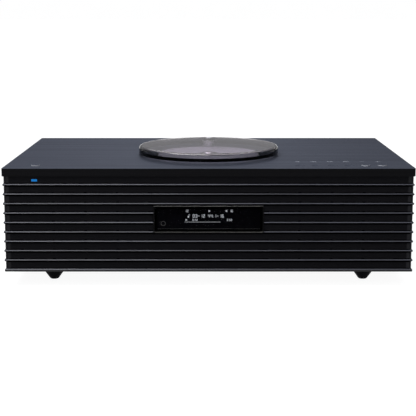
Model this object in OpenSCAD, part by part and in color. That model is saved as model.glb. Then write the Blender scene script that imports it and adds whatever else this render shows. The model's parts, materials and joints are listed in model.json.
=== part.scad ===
// One-box music system with a top-loading disc player.
// A low wide case is wrapped in thin horizontal fins under an overhanging top plate.
// A round clear lid swings aside on a post behind the disc well, and a disc lies on the hub.
// Millimetres. The front faces -Y, +X is to the right, and the feet stand on z = 0.

/* [Case] */
// Width of the top plate
plate_w = 450; // [440:1:500]
// Depth of the top plate
plate_d = 280; // [274:1:320]
// Height of the plate's edge
plate_edge_h = 8.6; // [7.5:0.1:11]
// Thickness of the plate's flat sheet
sheet_t = 3.6; // [3:0.1:4.5]
// Width of the skirt under the plate's rim
skirt_w = 4.2; // [4:0.1:6]
// Plan radius of the plate's corners
plate_corner_r = 2.4; // [2:0.1:6]
// Height of the walls between base plate and top plate
wall_h = 103; // [102:0.5:112]
// Thickness of the finned walls
wall_t = 1.9; // [1.5:0.1:2.4]
// Plan radius of the walls' corners, on the outside
wall_corner_r = 2.5; // [2.5:0.1:6]
// Thickness of the base plate
base_t = 3; // [2.5:0.1:4]
// Bevel along the base plate's upper edge
base_bevel = 1.1; // [0.6:0.1:1.2]
// Thickness of the rear panel
rear_t = 3; // [2:0.1:4]
// Distance of the rear panel's outer face inside the plate's edge
rear_inset = 2.5; // [2.2:0.1:5]

/* [Fins] */
// Number of fins
fin_count = 9; // [7:1:9]
// Spacing of the fins
fin_pitch = 10.5; // [9:0.1:10.6]
// Height of a fin at its root
fin_t = 2; // [1.4:0.1:2.6]
// How far a fin stands out of the wall
fin_proud = 1.4; // [1.2:0.1:2.2]
// Bevel along a fin's upper edge
fin_bevel = 0.9; // [0.4:0.1:1]
// Distance of the fin tips inside the plate's edge
fin_inset = 0.2; // [0.2:0.1:1]
// Distance from the plate down to the middle of the first fin
fin_drop = 9.4; // [8:0.1:10]

/* [Grille openings] */
// Distance of the first sound opening from the display
slot_gap = 5.8; // [4:0.1:12]
// Distance of the last sound opening inside the plate's side edge
slot_edge = 22; // [16:1:40]
// Width of the bar between two sound openings
mullion_w = 3; // [2:0.5:5]
// Sound openings along each band, on each side
slots_per_band = 4; // [2:1:4]
// Strip of wall left above and below an opening
slot_land = 0.8; // [0.5:0.1:1.5]
// Thickness of the acoustic cloth
cloth_t = 0.6; // [0.4:0.1:1]
// Thickness of the speaker baffle
baffle_t = 8; // [6:0.5:12]

/* [Display] */
// Width of the display bezel
display_w = 120.4; // [100:0.2:124]
// Height of the display bezel
display_h = 29.7; // [26:0.1:32]
// Distance from the plate's top face down to the display's middle
display_drop = 56.2; // [50:0.1:62]
// Width of the bezel's metal rim
bezel_t = 0.9; // [0.6:0.1:1.4]
// Depth of the bezel
bezel_d = 12; // [11:0.1:14]
// Width of the ledge that carries the window
ledge_w = 3; // [2:0.1:4]
// Thickness of the ledge
ledge_t = 1.5; // [1:0.1:2]
// Thickness of the display window
window_t = 2.4; // [1.5:0.1:3]
// Thickness of the display panel
panel_t = 4; // [3:0.1:5]
// Distance of the power light inside the plate's left edge
led_edge = 35.5; // [25:0.5:50]
// Width of the power light
led_w = 6.3; // [4:0.1:8]
// Height of the power light
led_h = 2.5; // [2:0.1:4]
// Distance from the plate's top face down to the power light's middle
led_drop = 13; // [12.6:0.1:13.6]
// Length of the power light's light pipe
led_len = 7; // [6:0.5:9]

/* [Buttons] */
// Radius of a button
button_r = 4.8; // [4:0.1:5.5]
// Distance of the button row behind the plate's front edge
button_back = 23; // [21:0.5:26]
// Distance of the power button inside the plate's left edge
power_edge = 33.7; // [30:0.1:45]
// Distance of the last button of the row inside the plate's right edge
row_edge = 33; // [30:0.5:40]
// Spacing of the six buttons in the row
row_pitch = 18.2; // [16:0.1:18.6]
// How far the power and volume buttons stand out of the plate
button_rise = 1.2; // [0:0.1:2]
// Depth of the finger dimple in a button
dimple_d = 0.7; // [0.3:0.1:1]
// Travel of a button
button_travel = 0.8; // [0.4:0.1:1]
// Gap between a button and its hole
button_gap = 0.3; // [0.2:0.05:0.5]
// Width of the ring that keeps a button in its hole
collar_w = 1.4; // [1:0.1:2]

/* [Lid] */
// Radius of the lid
lid_r = 83; // [82:0.5:90]
// Height of the lid
lid_h = 9.4; // [8.5:0.1:12]
// Thickness of the lid's clear disc
lid_t = 4; // [2.5:0.1:4.5]
// Thickness of the clear ring round the lid
lid_rim_t = 2.5; // [2:0.1:3.5]
// Radius of the ring's rounded upper edge
lid_edge_r = 2; // [1:0.1:2.2]
// Gap between the lid's ring and the plate
lid_gap = 1.6; // [1:0.1:3]
// Distance of the lid's middle behind the plate's front edge
lid_back = 121; // [118:1:126]
// Distance of the pivot post behind the lid's middle
post_back = 71; // [70.6:0.1:72]
// Radius of the pivot post
post_r = 7.5; // [6:0.1:7.8]
// Radius of the pin that the lid turns on
pin_r = 4; // [3:0.1:5]
// Clearance of turning and sliding fits, on the radius
fit_gap = 0.06; // [0.03:0.01:0.1]

/* [Disc player] */
// Radius of the disc well
well_r = 62.2; // [61.5:0.1:62.6]
// Thickness of the well's deck
deck_t = 3; // [2.5:0.1:4]
// Radius of the disc
disc_r = 60; // [59.8:0.1:60.2]
// Thickness of the disc
disc_t = 1.2; // [1.1:0.1:1.5]
// Thickness of the bright floor plate in the well
floor_t = 0.9; // [0.6:0.1:1.2]
// Radius of the hub's disc seat
hub_r = 12; // [11:0.5:14]
// Radius of the hub's centring boss
boss_r = 7.3; // [7:0.05:7.45]
// Height of the disc seat above the well floor
seat_h = 1.5; // [1.2:0.1:2]
// Height of the centring boss above the disc seat
boss_h = 2.4; // [2:0.1:2.6]
// Radius of the spindle shaft
shaft_r = 1; // [0.8:0.1:1.5]
// Radius of the spindle motor
motor_r = 14; // [12:0.5:15]
// Height of the spindle motor
motor_h = 11; // [9:0.5:12]
// Distance from the well's deck down to the player chassis
chassis_drop = 16.4; // [16:0.1:20]
// Thickness of the player chassis
chassis_t = 2; // [1.5:0.1:3]
// Inner end of the pickup's travel, from the disc's axis
lens_r_in = 23; // [22.5:0.5:24]
// Travel of the pickup
pickup_travel = 35; // [30:0.5:36]
// Radius of the guide rods
rod_r = 1.5; // [1.2:0.1:2]
// Distance of each guide rod from the middle
rod_x = 22; // [20:0.5:23]
// Radius of the lead screw
screw_r = 1.5; // [1.2:0.1:2]
// Distance of the lead screw from the middle
screw_x = 33; // [31:0.5:36]

/* [Speakers] */
// Distance of the woofers inside the plate's side edges
woofer_edge = 73; // [66:1:76]
// Radius of a woofer's frame
woofer_frame_r = 41; // [38:0.5:43]
// Radius of a woofer's cone
woofer_cone_r = 27; // [24:0.5:29]
// Radius of a woofer's voice coil
woofer_coil_r = 10; // [8:0.5:12]
// Radius of a woofer's magnet
woofer_magnet_r = 28; // [24:0.5:32]
// Depth of a woofer behind its flange
woofer_depth = 34; // [32:0.5:44]
// Travel of a woofer's cone, each way
woofer_travel = 1.5; // [0.5:0.1:2]
// Distance of a tweeter from its woofer
tweeter_pitch = 64; // [62:0.5:66]
// Radius of a tweeter's face plate
tweeter_r = 17; // [15:0.5:19]
// Radius of a tweeter's dome
dome_r = 10; // [8:0.5:11]
// Radius of the subwoofer's frame
sub_frame_r = 60; // [56:0.5:64]
// Radius of the subwoofer's cone
sub_cone_r = 44; // [38:0.5:46]
// Radius of the subwoofer's voice coil
sub_coil_r = 14; // [12:0.5:18]
// Radius of the subwoofer's magnet
sub_magnet_r = 40; // [34:0.5:46]
// Depth of the subwoofer behind its flange
sub_depth = 46; // [44:0.5:56]
// Travel of the subwoofer's cone, each way
sub_travel = 2.5; // [1:0.1:3]
// Inner radius of the bass port
port_r = 18; // [14:0.5:20]
// Length of the bass port behind the rear panel
port_len = 62; // [40:1:66]

/* [Feet] */
// Height of a foot
foot_h = 17.4; // [14:0.1:22]
// Radius of a foot where it stands
foot_floor_r = 4.6; // [4:0.1:6]
// Radius of a foot under the base plate
foot_top_r = 17; // [12:0.1:20]
// Distance of the feet inside the plate's side edges
foot_edge = 49.5; // [35:0.5:65]
// Distance of the feet inside the plate's front and rear edges
foot_inset = 40; // [30:1:48]
// Radius of a foot screw
foot_screw_r = 1.5; // [1.2:0.1:1.8]

/* [Electronics] */
// Thickness of the circuit boards
board_t = 1.6; // [1.2:0.1:2]
// Height of the stand-offs under the boards
standoff_h = 6; // [4:0.5:8]
// Distance of the board's inner edges from the middle
board_x = 76; // [74:1:80]
// Distance of the boards' outer edges inside the plate's side edges
board_edge = 21; // [16:1:24]
// Depth of each board
board_d = 96; // [90:1:100]

/* [Hidden] */
$fn = 64;

black = [0.09, 0.09, 0.10];
dark_steel = [0.28, 0.29, 0.32];
bright_metal = [0.78, 0.78, 0.80];
board_green = [0.10, 0.28, 0.16];

// Heights
wall_z = foot_h + base_t;
plate_z = wall_z + wall_h;
top_z = plate_z + plate_edge_h;
sheet_z = top_z - sheet_t;
deck_z = sheet_z - deck_t;
well_z = sheet_z + floor_t;
chassis_z = deck_z - chassis_drop - chassis_t;
mech_z = chassis_z + chassis_t;

// Distances along the depth, front to back
front_y = -plate_d / 2;
tip_y = front_y + fin_inset;
wall_y = tip_y + fin_proud;
cloth_y = wall_y + wall_t;
baffle_y = cloth_y + cloth_t;
baffle_back_y = baffle_y + baffle_t;
rear_y = plate_d / 2 - rear_inset;
rear_inner_y = rear_y - rear_t;
disc_y = front_y + lid_back;
post_y = disc_y + post_back;
button_y = front_y + button_back;

// Distances across the width
wall_x = plate_w / 2 - fin_inset - fin_proud;
inner_x = wall_x - wall_t;
baffle_x = wall_x - wall_corner_r - wall_t;
overlap = 0.5;
led_x = plate_w / 2 - led_edge;
power_x = plate_w / 2 - power_edge;
row_keys = 6;
row_end_x = plate_w / 2 - row_edge;
row_x = row_end_x - (row_keys - 1) * row_pitch;
woofer_x = plate_w / 2 - woofer_edge;
tweeter_x = woofer_x - tweeter_pitch;
foot_x = plate_w / 2 - foot_edge;
board_w = plate_w / 2 - board_edge - board_x;
slot_start_x = display_w / 2 + slot_gap;
slots_end_x = plate_w / 2 - slot_edge;
slot_w = (slots_end_x - slot_start_x - (slots_per_band - 1) * mullion_w) / slots_per_band;

function fin_v(i) = wall_h - fin_drop - fin_t / 2 - i * fin_pitch;

// Box between two opposite corners
module block(lo, hi) {
    translate(lo)
        cube(hi - lo);
}

// Rectangle with round corners, centred
module rounded_rect(w, d, r) {
    square([w - 2 * r, d], center = true);
    square([w, d - 2 * r], center = true);
    for (x = [-1, 1], y = [-1, 1])
        translate([x * (w / 2 - r), y * (d / 2 - r)])
            circle(r);
}

// Stands a flat outline up on the front, facing -Y, with its back at y
module upright(y, z, depth) {
    translate([0, y, z])
        rotate([90, 0, 0])
            linear_extrude(depth)
                children();
}

// Top plate

// Places of the bosses that carry the two key boards
key_board_end = 12.5;
key_boss_r = 3;
key_boss_inset = 4;
key_board_d = 15;
key_row_x0 = row_x - key_board_end - key_boss_r;
key_row_x1 = row_end_x + key_board_end + key_boss_r;
key_power_x0 = -power_x - key_board_end - key_boss_r;
key_power_x1 = -power_x + key_board_end + key_boss_r;
key_boss_xs = [
    key_row_x0 + key_boss_inset, key_row_x1 - key_boss_inset,
    key_power_x0 + key_boss_inset, key_power_x1 - key_boss_inset
];
button_xs = [-power_x, for (i = [0:row_keys - 1]) row_x + i * row_pitch];

stem_h = 5.4;
collar_h = 1;
switch_h = 2.7;
switch_w = 6;
stem_z = sheet_z - stem_h;
switch_gap = 0.2;
switch_top_z = stem_z - button_travel - switch_gap;
key_board_z = switch_top_z - switch_h - board_t;

module top_panel() {
    color(dark_steel)
        difference() {
            union() {
                translate([0, 0, sheet_z])
                    linear_extrude(sheet_t)
                        rounded_rect(plate_w, plate_d, plate_corner_r);
                translate([0, 0, plate_z])
                    linear_extrude(plate_edge_h - sheet_t + overlap)
                        difference() {
                            rounded_rect(plate_w, plate_d, plate_corner_r);
                            square([plate_w - 2 * skirt_w, plate_d - 2 * skirt_w], center = true);
                        }
                for (x = key_boss_xs)
                    translate([x, button_y, key_board_z + board_t])
                        cylinder(r = key_boss_r, h = sheet_z - key_board_z - board_t + overlap);
            }
            translate([0, disc_y, sheet_z - overlap])
                cylinder(r = well_r, h = sheet_t + 2 * overlap, $fn = 128);
            translate([0, post_y, sheet_z - overlap])
                cylinder(r = spigot_r + fit_gap, h = sheet_t + 2 * overlap);
            for (x = button_xs)
                translate([x, button_y, sheet_z - overlap])
                    cylinder(r = button_r + button_gap, h = sheet_t + 2 * overlap);
        }
}

// Finned walls

// Section of a wall with its fins: outwards along +X, up from the base plate along +Y
module wall_section() {
    translate([-wall_t, 0])
        square([wall_t, wall_h]);
    for (i = [0:fin_count - 1])
        translate([0, fin_v(i)])
            polygon([
                [-wall_t / 2, 0], [fin_proud, 0], [fin_proud, fin_t - fin_bevel],
                [fin_proud - fin_bevel, fin_t], [-wall_t / 2, fin_t]
            ]);
}

module front_run() {
    half = wall_x - wall_corner_r;
    translate([-half, wall_y, wall_z])
        rotate([90, 0, 90])
            linear_extrude(2 * half)
                mirror([1, 0])
                    wall_section();
}

module right_corner() {
    translate([wall_x - wall_corner_r, wall_y + wall_corner_r, wall_z])
        rotate([0, 0, -90])
            rotate_extrude(angle = 90)
                translate([wall_corner_r, 0])
                    wall_section();
}

// Sound openings of one side, between each fin and the next one down
module sound_slots() {
    for (i = [0:fin_count - 2], k = [0:slots_per_band - 1]) {
        x = slot_start_x + k * (slot_w + mullion_w);
        low = wall_z + fin_v(i + 1) + fin_t + slot_land;
        high = wall_z + fin_v(i) - slot_land;
        block([x, wall_y - overlap, low], [x + slot_w, cloth_y + overlap, high]);
    }
}

display_z = top_z - display_drop;
led_z = top_z - led_drop;
trim_gap = 0.15;

module display_cut(y0, y1) {
    upright(y1, display_z, y1 - y0)
        square([display_w + 2 * trim_gap, display_h + 2 * trim_gap], center = true);
}

module led_cut(y0, y1) {
    translate([-led_x, 0, 0])
        upright(y1, led_z, y1 - y0)
            square([led_w + 2 * trim_gap, led_h + 2 * trim_gap], center = true);
}

module front_grille() {
    color(black)
        difference() {
            union() {
                front_run();
                right_corner();
                mirror([1, 0, 0])
                    right_corner();
            }
            sound_slots();
            mirror([1, 0, 0])
                sound_slots();
            display_cut(tip_y - overlap, cloth_y + overlap);
            led_cut(tip_y - overlap, cloth_y + overlap);
        }
}

// Post inside the rear end of a side wall, which the rear panel is screwed to
rear_post_w = 9;
rear_post_d = 10;
rear_screw_r = 1.5;
rear_screw_len = 10;
rear_screw_edge = 15;
rear_screw_x = inner_x - rear_post_w / 2;
rear_screw_zs = [wall_z + rear_screw_edge, plate_z - rear_screw_edge];
thread_gap = 0.05;

module side_wall() {
    start_y = wall_y + wall_corner_r;
    end_y = plate_d / 2 - fin_inset;
    difference() {
        union() {
            translate([wall_x, end_y, wall_z])
                rotate([90, 0, 0])
                    linear_extrude(end_y - start_y)
                        wall_section();
            block(
                [inner_x - rear_post_w, rear_inner_y - rear_post_d, wall_z],
                [inner_x + overlap, rear_inner_y, plate_z]
            );
        }
        for (z = rear_screw_zs)
            translate([rear_screw_x, rear_inner_y + overlap, z])
                rotate([90, 0, 0])
                    cylinder(r = rear_screw_r + thread_gap, h = rear_screw_len - rear_t + 2 * overlap);
    }
}

module right_grille() {
    color(black)
        side_wall();
}

module left_grille() {
    color(black)
        mirror([1, 0, 0])
            side_wall();
}

// Cloth and baffle stand between the base plate and the top plate
baffle_z = (wall_z + plate_z) / 2;

module grille_cloth() {
    color([0.06, 0.06, 0.07])
        difference() {
            block([-baffle_x, cloth_y, wall_z], [baffle_x, baffle_y, plate_z]);
            display_cut(cloth_y - overlap, baffle_y + overlap);
            led_cut(cloth_y - overlap, baffle_y + overlap);
        }
}

hole_lip = 4;

module front_baffle() {
    color([0.14, 0.12, 0.11])
        difference() {
            block([-baffle_x, baffle_y, wall_z], [baffle_x, baffle_back_y, plate_z]);
            display_cut(baffle_y - overlap, baffle_back_y + overlap);
            led_cut(baffle_y - overlap, baffle_back_y + overlap);
            for (side = [-1, 1]) {
                facing_front(side * woofer_x, baffle_y - overlap)
                    mirror([0, 0, 1])
                        cylinder(r = woofer_frame_r - hole_lip, h = baffle_t + 2 * overlap);
                facing_front(side * tweeter_x, baffle_y - overlap)
                    mirror([0, 0, 1])
                        cylinder(r = tweeter_r - hole_lip, h = baffle_t + 2 * overlap);
            }
        }
}

// Turns +Z to the front, at a place on the baffle
module facing_front(x, y) {
    translate([x, y, baffle_z])
        rotate([90, 0, 0])
            children();
}

// Turns +Z to the rear, at a place on the rear panel
module facing_rear(x, y, z) {
    translate([x, y, z])
        rotate([-90, 0, 0])
            children();
}

// Base, feet and rear panel

base_inset = 0.4;
base_x = plate_w / 2 - base_inset;
base_y = plate_d / 2 - base_inset;
foot_boss_r = 5;
foot_boss_h = 5;
foot_screw_end = 1;
foot_y = plate_d / 2 - foot_inset;
foot_head_w = 1.2;
foot_head_r = foot_screw_r + foot_head_w;
foot_head_h = 2.6;
foot_head_z = 6;
head_gap = 0.3;
foot_screw_len = wall_z + foot_boss_h - foot_head_z - foot_screw_end;
sub_ring_h = 6;
guard_t = 2;
guard_w = 4;
guard_bars = 3;
guard_ring_r = 27;
sub_z = wall_z + sub_ring_h;
standoff_r = 3.5;
standoff_inset = 6;
board_z = wall_z + standoff_h;
board_gap = 4;
board_y1 = rear_inner_y - board_gap;
board_y0 = board_y1 - board_d;

module foot_places() {
    for (x = [-foot_x, foot_x], y = [-foot_y, foot_y])
        translate([x, y, 0])
            children();
}

// Prisms that bevel the upper edges of the base plate
module base_edges() {
    side = base_bevel * sqrt(2);
    for (y = [-base_y, base_y])
        translate([0, y, wall_z])
            rotate([45, 0, 0])
                cube([plate_w, side, side], center = true);
    for (x = [-base_x, base_x])
        translate([x, 0, wall_z])
            rotate([0, 45, 0])
                cube([side, plate_d, side], center = true);
}

module board_standoffs() {
    for (side = [-1, 1], x = [board_x + standoff_inset, board_x + board_w - standoff_inset])
        for (y = [board_y0 + standoff_inset, board_y1 - standoff_inset])
            translate([side * x, y, wall_z - overlap])
                cylinder(r = standoff_r, h = standoff_h + overlap);
}

// Bars and ring that guard the subwoofer's cone
module sub_guard() {
    linear_extrude(guard_t) {
        for (i = [0:guard_bars - 1])
            rotate(i * 180 / guard_bars)
                square([2 * (sub_frame_r - hole_lip + overlap), guard_w], center = true);
        difference() {
            circle(guard_ring_r + guard_w / 2);
            circle(guard_ring_r - guard_w / 2);
        }
    }
}

module bottom_plate() {
    color(black)
        difference() {
            union() {
                difference() {
                    union() {
                        translate([0, 0, foot_h])
                            linear_extrude(base_t)
                                rounded_rect(2 * base_x, 2 * base_y, plate_corner_r);
                        translate([0, 0, wall_z - overlap])
                            cylinder(r = sub_frame_r, h = sub_ring_h + overlap, $fn = 96);
                    }
                    translate([0, 0, foot_h - overlap])
                        cylinder(
                            r = sub_frame_r - hole_lip, h = base_t + sub_ring_h + 2 * overlap, $fn = 96
                        );
                    base_edges();
                }
                translate([0, 0, foot_h])
                    sub_guard();
                board_standoffs();
                foot_places()
                    translate([0, 0, wall_z - overlap])
                        cylinder(r = foot_boss_r, h = foot_boss_h + overlap);
            }
            foot_places()
                translate([0, 0, foot_h - overlap])
                    cylinder(r = foot_screw_r + thread_gap, h = base_t + foot_boss_h + 2 * overlap);
        }
}

module feet() {
    color([0.10, 0.10, 0.11])
        foot_places()
            difference() {
                cylinder(r1 = foot_floor_r, r2 = foot_top_r, h = foot_h);
                translate([0, 0, -overlap])
                    cylinder(r = foot_head_r + head_gap, h = foot_head_z + overlap);
                cylinder(r = foot_screw_r + head_gap, h = foot_h + overlap);
            }
}

module foot_screws() {
    color(bright_metal)
        foot_places() {
            translate([0, 0, foot_head_z - foot_head_h])
                cylinder(r = foot_head_r, h = foot_head_h);
            translate([0, 0, foot_head_z - overlap])
                cylinder(r = foot_screw_r, h = foot_screw_len + overlap);
        }
}

panel_gap = 0.2;
port_wall = 2;
port_z = baffle_z;
port_lip_w = 7;
port_lip_r = port_r + port_lip_w;
port_lip_t = 1.6;
jack_gap = 0.2;
jack_z = board_z + board_t;
jack_len = 24;
jack_proud = 0.6;
lan_edge = 49;
lan_x = plate_w / 2 - lan_edge;
lan_w = 16;
lan_h = 13.5;
usb_pitch = 28;
usb_x = lan_x - usb_pitch;
usb_w = 14.5;
usb_h = 7.2;
jack_pitch = 24;
aux_x = usb_x - jack_pitch;
aux_r = 4;
aux_w = 11;
aux_h = 12;
antenna_x = aux_x - jack_pitch;
antenna_r = 4.7;
antenna_w = 14;
antenna_h = 16;
inlet_edge = 65;
inlet_x = inlet_edge - plate_w / 2;
inlet_lift = 22;
inlet_z = jack_z + inlet_lift;
inlet_w = 22;
inlet_h = 13;
inlet_flange_w = 4;
inlet_flange_t = 1.5;
inlet_len = 18;

// Two round ends joined by a straight middle
module stadium(w, h) {
    square([w - h, h], center = true);
    for (x = [-1, 1])
        translate([x * (w - h) / 2, 0])
            circle(d = h);
}

module rear_panel() {
    cut_y = rear_inner_y - overlap;
    cut_t = rear_t + 2 * overlap;
    half = inner_x - panel_gap;
    color(black)
        difference() {
            block([-half, rear_inner_y, wall_z], [half, rear_y, plate_z]);
            for (side = [-1, 1], z = rear_screw_zs)
                facing_rear(side * rear_screw_x, cut_y, z)
                    cylinder(r = rear_screw_r + thread_gap, h = cut_t);
            facing_rear(0, cut_y, port_z)
                cylinder(r = port_r + port_wall + jack_gap, h = cut_t);
            facing_rear(inlet_x, cut_y, inlet_z)
                linear_extrude(cut_t)
                    stadium(inlet_w + 2 * jack_gap, inlet_h + 2 * jack_gap);
            facing_rear(lan_x, cut_y, jack_z + lan_h / 2)
                linear_extrude(cut_t)
                    square([lan_w + 2 * jack_gap, lan_h + 2 * jack_gap], center = true);
            facing_rear(usb_x, cut_y, jack_z + usb_h / 2)
                linear_extrude(cut_t)
                    square([usb_w + 2 * jack_gap, usb_h + 2 * jack_gap], center = true);
            facing_rear(aux_x, cut_y, jack_z + aux_h / 2)
                cylinder(r = aux_r + jack_gap, h = cut_t);
            facing_rear(antenna_x, cut_y, jack_z + antenna_h / 2)
                cylinder(r = antenna_r + jack_gap, h = cut_t);
        }
}

rear_head_r = 2.8;
rear_head_h = 1.6;

module rear_screws() {
    color(bright_metal)
        for (side = [-1, 1], z = rear_screw_zs)
            facing_rear(side * rear_screw_x, rear_y, z) {
                cylinder(r = rear_head_r, h = rear_head_h);
                translate([0, 0, -rear_screw_len])
                    cylinder(r = rear_screw_r, h = rear_screw_len + overlap);
            }
}

module bass_port() {
    outer = port_r + port_wall;
    color(black)
        facing_rear(0, rear_y, port_z)
            rotate_extrude() {
                translate([port_r, -port_len])
                    square([port_wall, port_len + port_lip_t]);
                translate([outer - overlap, 0])
                    square([port_lip_r - outer + overlap, port_lip_t]);
            }
}

// Display

window_gap = 0.1;
bezel_inset = 0.1;
window_inset = 0.3;
bezel_front_y = front_y + bezel_inset;
window_y = bezel_front_y + window_inset;
ledge_y = window_y + window_t;
panel_y = ledge_y + ledge_t;
seat_w = display_w - 2 * bezel_t;
seat_h_display = display_h - 2 * bezel_t;

module display_frame() {
    color(dark_steel)
        difference() {
            upright(bezel_front_y + bezel_d, display_z, bezel_d)
                square([display_w, display_h], center = true);
            upright(ledge_y, display_z, ledge_y - bezel_front_y + overlap)
                square([seat_w, seat_h_display], center = true);
            upright(bezel_front_y + bezel_d + overlap, display_z, bezel_d + 2 * overlap)
                square([seat_w - 2 * ledge_w, seat_h_display - 2 * ledge_w], center = true);
            upright(bezel_front_y + bezel_d + overlap, display_z, bezel_front_y + bezel_d + overlap - panel_y)
                square([seat_w, seat_h_display], center = true);
        }
}

module display_window() {
    color([0.05, 0.05, 0.06, 0.6])
        upright(ledge_y, display_z, window_t)
            square([seat_w - 2 * window_gap, seat_h_display - 2 * window_gap], center = true);
}

module display_panel() {
    color([0.02, 0.02, 0.03])
        upright(panel_y + panel_t, display_z, panel_t)
            square([seat_w - 2 * window_gap, seat_h_display - 2 * window_gap], center = true);
}

module display_board() {
    color(board_green)
        upright(panel_y + panel_t + board_t, display_z, board_t)
            square([seat_w - 2 * window_gap, seat_h_display - 2 * window_gap], center = true);
}

module power_led() {
    color([0.2, 0.4, 1])
        translate([-led_x, 0, 0])
            upright(wall_y + led_len, led_z, led_len)
                square([led_w, led_h], center = true);
}

// Keys

module key_switches(xs) {
    for (x = xs)
        translate([x, button_y, key_board_z + board_t - overlap])
            linear_extrude(switch_h + overlap)
                square(switch_w, center = true);
}

module key_board_strip(x0, x1, xs) {
    color(board_green) {
        translate([0, button_y - key_board_d / 2, 0])
            block([x0, 0, key_board_z], [x1, key_board_d, key_board_z + board_t]);
        key_switches(xs);
    }
}

module power_key_board() {
    key_board_strip(key_power_x0, key_power_x1, [-power_x]);
}

module key_board() {
    key_board_strip(key_row_x0, key_row_x1, [for (i = [0:row_keys - 1]) row_x + i * row_pitch]);
}

collar_gap = 0.1;
stem_r = 1.8;

// Round button with a finger dimple, a keeper ring under the sheet and a stem over its switch
module button(x, rise = 0) {
    dimple_r = (button_r * button_r + dimple_d * dimple_d) / (2 * dimple_d);
    color(dark_steel)
        translate([x, button_y, 0])
            difference() {
                union() {
                    translate([0, 0, sheet_z - collar_gap - collar_h])
                        cylinder(r = button_r, h = sheet_t + collar_gap + collar_h + rise);
                    translate([0, 0, sheet_z - collar_gap - collar_h])
                        cylinder(r = button_r + button_gap + collar_w, h = collar_h);
                    translate([0, 0, stem_z])
                        cylinder(r = stem_r, h = stem_h);
                }
                translate([0, 0, top_z + rise + dimple_r - dimple_d])
                    sphere(r = dimple_r, $fn = 96);
            }
}

module button_power() { button(-power_x, button_rise); }
module button_input() { button(row_x); }
module button_previous() { button(row_x + row_pitch); }
module button_play() { button(row_x + 2 * row_pitch); }
module button_next() { button(row_x + 3 * row_pitch); }
module button_volume_down() { button(row_x + 4 * row_pitch, button_rise); }
module button_volume_up() { button(row_x + 5 * row_pitch, button_rise); }

// Lid

lid_z = top_z + lid_gap;
lid_top_z = lid_z + lid_h;
lid_under_z = lid_top_z - lid_t;
spigot_r = 4;
spigot_len = 9;
nut_r = 6.4;
nut_h = 3.4;
rest_gap = 0.05;
smoke = [0.35, 0.33, 0.36, 0.4];
lid_ledge_w = 0.7;
ledge_h = 1.5;

// Clear disc that lies on the ring's ledge
module lid_cover() {
    color(smoke)
        translate([0, disc_y, lid_under_z])
            difference() {
                cylinder(r = lid_r - lid_rim_t - panel_gap, h = lid_t, $fn = 128);
                translate([0, post_back, -overlap])
                    cylinder(r = pin_r + fit_gap, h = lid_t + 2 * overlap);
            }
}

// Clear ring with the ledge under the clear disc
module lid_ring() {
    seat_r = lid_r - lid_rim_t;
    seat_v = lid_h - lid_t;
    color(smoke)
        translate([0, disc_y, lid_z])
            rotate_extrude($fn = 128)
                difference() {
                    union() {
                        square([lid_r, lid_h - lid_edge_r]);
                        square([lid_r - lid_edge_r, lid_h]);
                        translate([lid_r - lid_edge_r, lid_h - lid_edge_r])
                            circle(lid_edge_r);
                    }
                    translate([-overlap, -overlap])
                        square([seat_r + overlap, seat_v - ledge_h + overlap]);
                    translate([-overlap, -overlap])
                        square([seat_r - lid_ledge_w + overlap, lid_h + 2 * overlap]);
                    translate([-overlap, seat_v])
                        square([seat_r + overlap, lid_t + overlap]);
                }
}

// Post with the pin that the lid turns on, held under the sheet by a nut
module lid_post() {
    color(bright_metal)
        translate([0, post_y, 0]) {
            translate([0, 0, top_z])
                cylinder(r = post_r, h = lid_under_z - rest_gap - top_z);
            translate([0, 0, lid_under_z - rest_gap - overlap])
                cylinder(r = pin_r, h = lid_t + rest_gap + overlap);
            translate([0, 0, sheet_z - spigot_len])
                cylinder(r = spigot_r, h = spigot_len + sheet_t + overlap);
        }
}

module lid_nut() {
    color(bright_metal)
        translate([0, post_y, sheet_z - nut_h])
            difference() {
                cylinder(r = nut_r, h = nut_h, $fn = 6);
                translate([0, 0, -overlap])
                    cylinder(r = spigot_r + thread_gap, h = nut_h + 2 * overlap);
            }
}

// Disc player

deck_lip = 2;
hub_hole_r = hub_r + 2;
slot_half_w = 8;
turret_r = 6.5;
turret_gap = 1;
lens_y = disc_y - lens_r_in;
chassis_x0 = -52;
chassis_x1 = 56;
sled_tail = 15;
sled_nose = 7;
tab_t = 3;
tab_gap = 3;
chassis_y0 = lens_y - pickup_travel - sled_tail - tab_gap - tab_t;
chassis_tail = 26;
chassis_y1 = disc_y + chassis_tail;
mount_inset = 6;
mount_xs = [chassis_x0 + mount_inset, chassis_x1 - mount_inset];
mount_ys = [chassis_y0 + mount_inset, chassis_y1 - mount_inset];
mount_post_r = 2.5;
grommet_r = 6;
grommet_neck_r = 4;
grommet_lip = 2.5;
mount_post_z = chassis_z - grommet_lip;
mount_screw_r = 1.2;
mount_head_r = 5;
mount_head_h = 1.8;
mount_screw_len = 9.9;
mount_hole_d = 11.9;

module mount_places() {
    for (x = mount_xs, y = mount_ys)
        translate([x, y, 0])
            children();
}

// Slot along the pickup's travel, with room for a round piece of radius r
module pickup_slot(r, z, h) {
    room = r + turret_gap;
    block(
        [-slot_half_w, lens_y - pickup_travel - room, z],
        [slot_half_w, lens_y + room, z + h]
    );
}

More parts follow.
